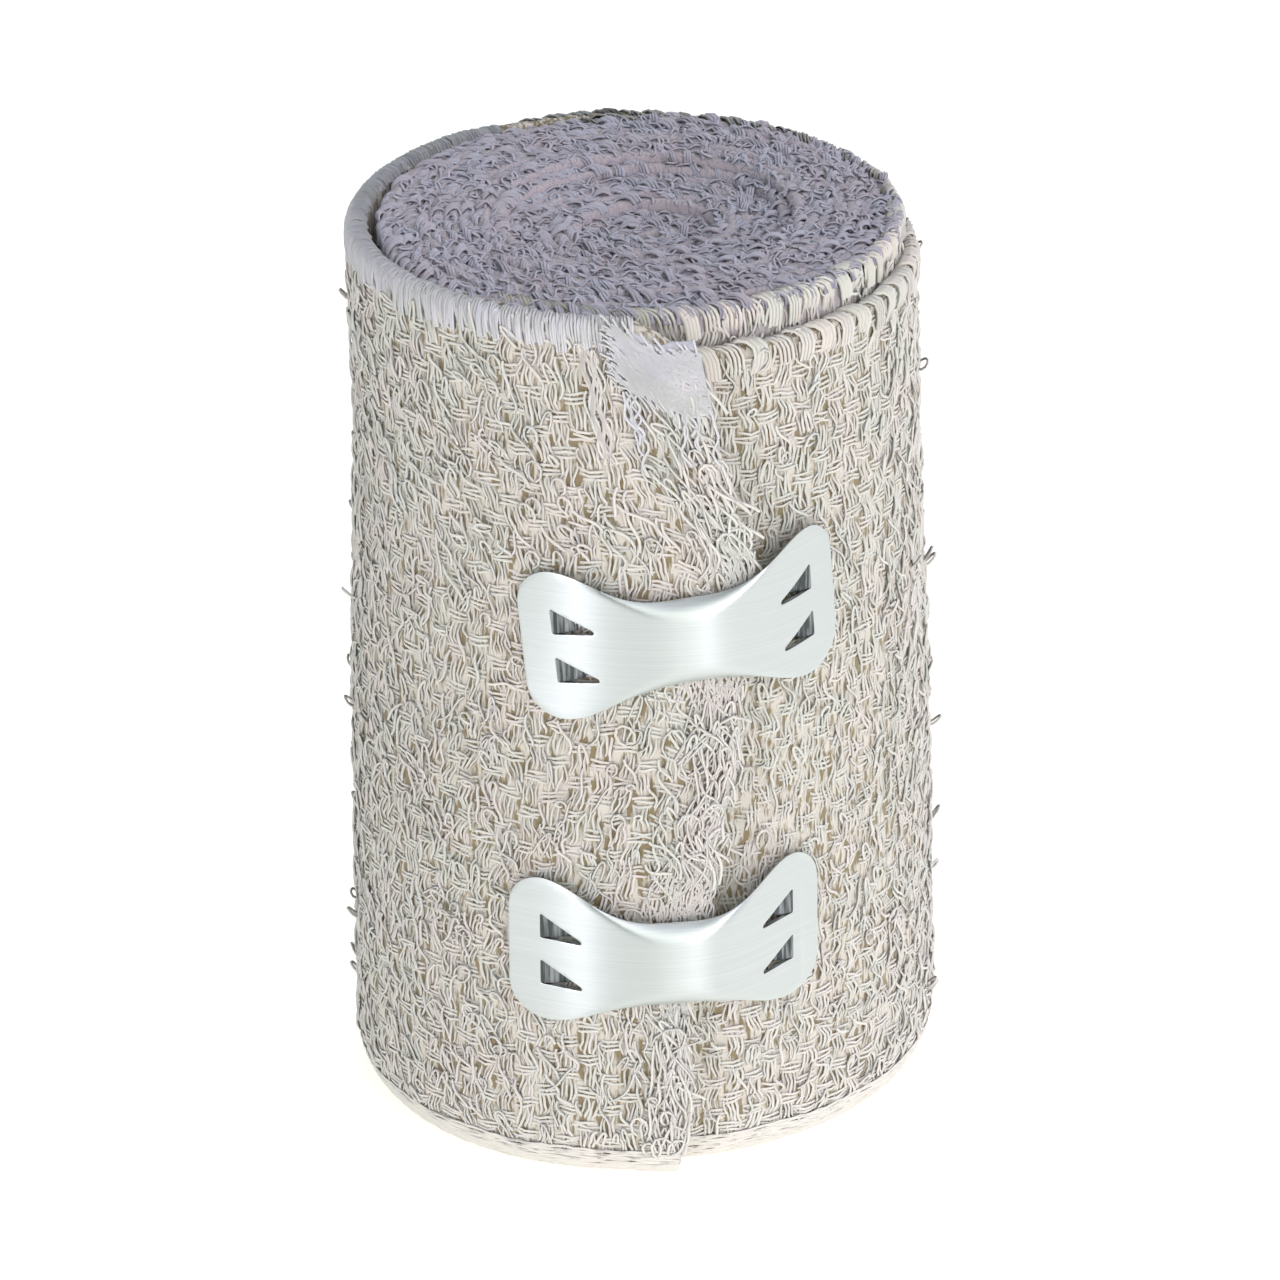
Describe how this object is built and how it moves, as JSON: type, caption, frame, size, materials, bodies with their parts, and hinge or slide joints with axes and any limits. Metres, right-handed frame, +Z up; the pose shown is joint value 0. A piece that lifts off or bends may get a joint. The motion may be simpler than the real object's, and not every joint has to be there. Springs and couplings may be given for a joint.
{
  "type": "crepe bandage roll",
  "caption": "Crepe bandage rolled up and standing on end, its frayed loose end held down by bent metal clips.",
  "frame": {"origin": "middle of the footprint's box, on the surface that the roll stands on", "axes": "+Z up along the roll, -Y towards the front with the clips, +X to the right of the front"},
  "size_m": [0.0476, 0.0458, 0.075],
  "materials": {
    "crepe_cloth": "natural unbleached cotton crepe, open weave with curled weft",
    "clip_metal": "brushed satin metal"
  },
  "bodies": {
    "root": {"wound_roll": "crepe_cloth", "loose_end": "crepe_cloth", "clip_upper": "clip_metal", "clip_lower": "clip_metal"}
  },
  "joints": []
}
